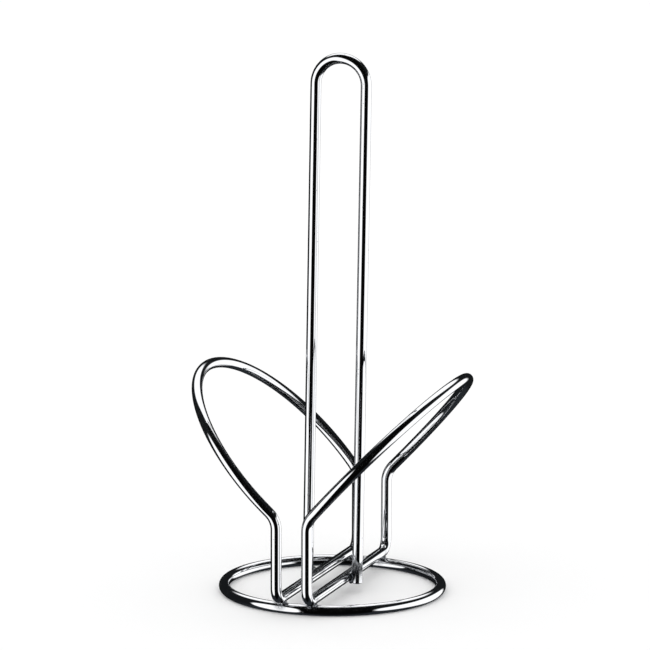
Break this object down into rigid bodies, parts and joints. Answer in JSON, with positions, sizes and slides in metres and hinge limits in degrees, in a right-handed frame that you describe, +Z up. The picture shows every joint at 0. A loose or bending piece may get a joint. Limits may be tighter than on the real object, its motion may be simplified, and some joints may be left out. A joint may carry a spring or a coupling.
{
  "type": "paper towel holder",
  "caption": "Free-standing upright paper towel holder of chromed wire: ring base, tall hairpin post for the roll's core, and looped wings that lean outwards to carry the roll.",
  "frame": {"origin": "centre of the base ring, on the surface that the holder stands on", "axes": "+Z up along the post, X across the two wings, +Y to the back along their bars"},
  "size_m": [0.1618, 0.1594, 0.3192],
  "materials": {
    "chromed_wire": "bright chrome plate over drawn steel wire",
    "plated_weld": "chrome plate over a rough weld, duller than the wire"
  },
  "bodies": {
    "root": {"base_ring": "chromed_wire", "left_wing": "chromed_wire", "right_wing": "chromed_wire", "centre_post": "chromed_wire", "base_ring_butt_weld": "plated_weld", "left_wing_butt_weld": "plated_weld", "right_wing_butt_weld": "plated_weld", "ring_weld_front_left": "plated_weld", "ring_weld_back_left": "plated_weld", "ring_weld_front_right": "plated_weld", "ring_weld_back_right": "plated_weld", "post_weld_left": "plated_weld", "post_weld_right": "plated_weld"}
  },
  "joints": []
}
